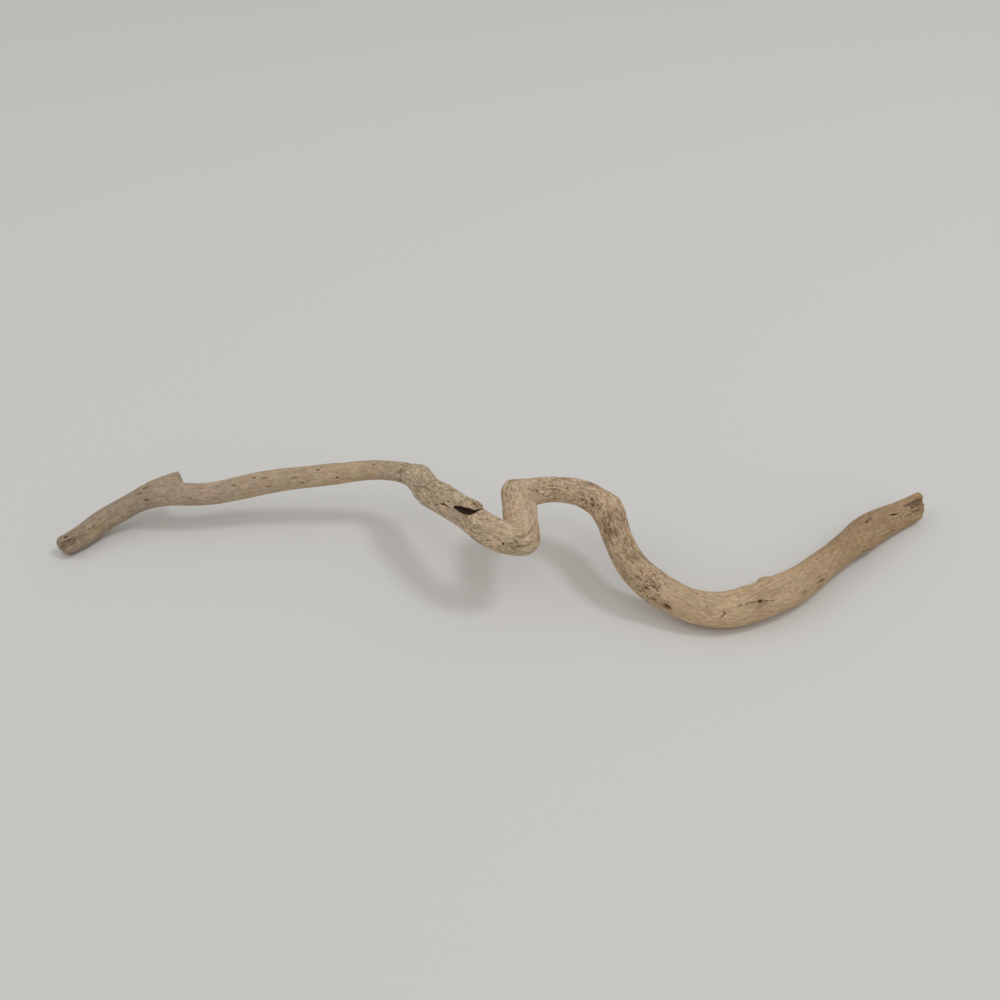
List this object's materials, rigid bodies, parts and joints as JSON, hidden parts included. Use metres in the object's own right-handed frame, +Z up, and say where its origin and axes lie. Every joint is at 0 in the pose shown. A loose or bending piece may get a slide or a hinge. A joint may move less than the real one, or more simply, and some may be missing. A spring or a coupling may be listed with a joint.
{
  "type": "piece of driftwood",
  "caption": "Slender weathered branch without bark, bent in a wave and a sharp zigzag, resting on low points at both ends and at its wide bend.",
  "frame": {"origin": "bottom centre of the box round the branch, on the surface that it rests on", "axes": "+X from the thin end to the thick end, +Y away from the viewer of the picture, +Z up"},
  "size_m": [0.6071, 0.1264, 0.0685],
  "materials": {
    "wood": "bare weathered wood, matte, with fine grain, dark pits and short cracks"
  },
  "bodies": {
    "root": {"driftwood": "wood"}
  },
  "joints": []
}
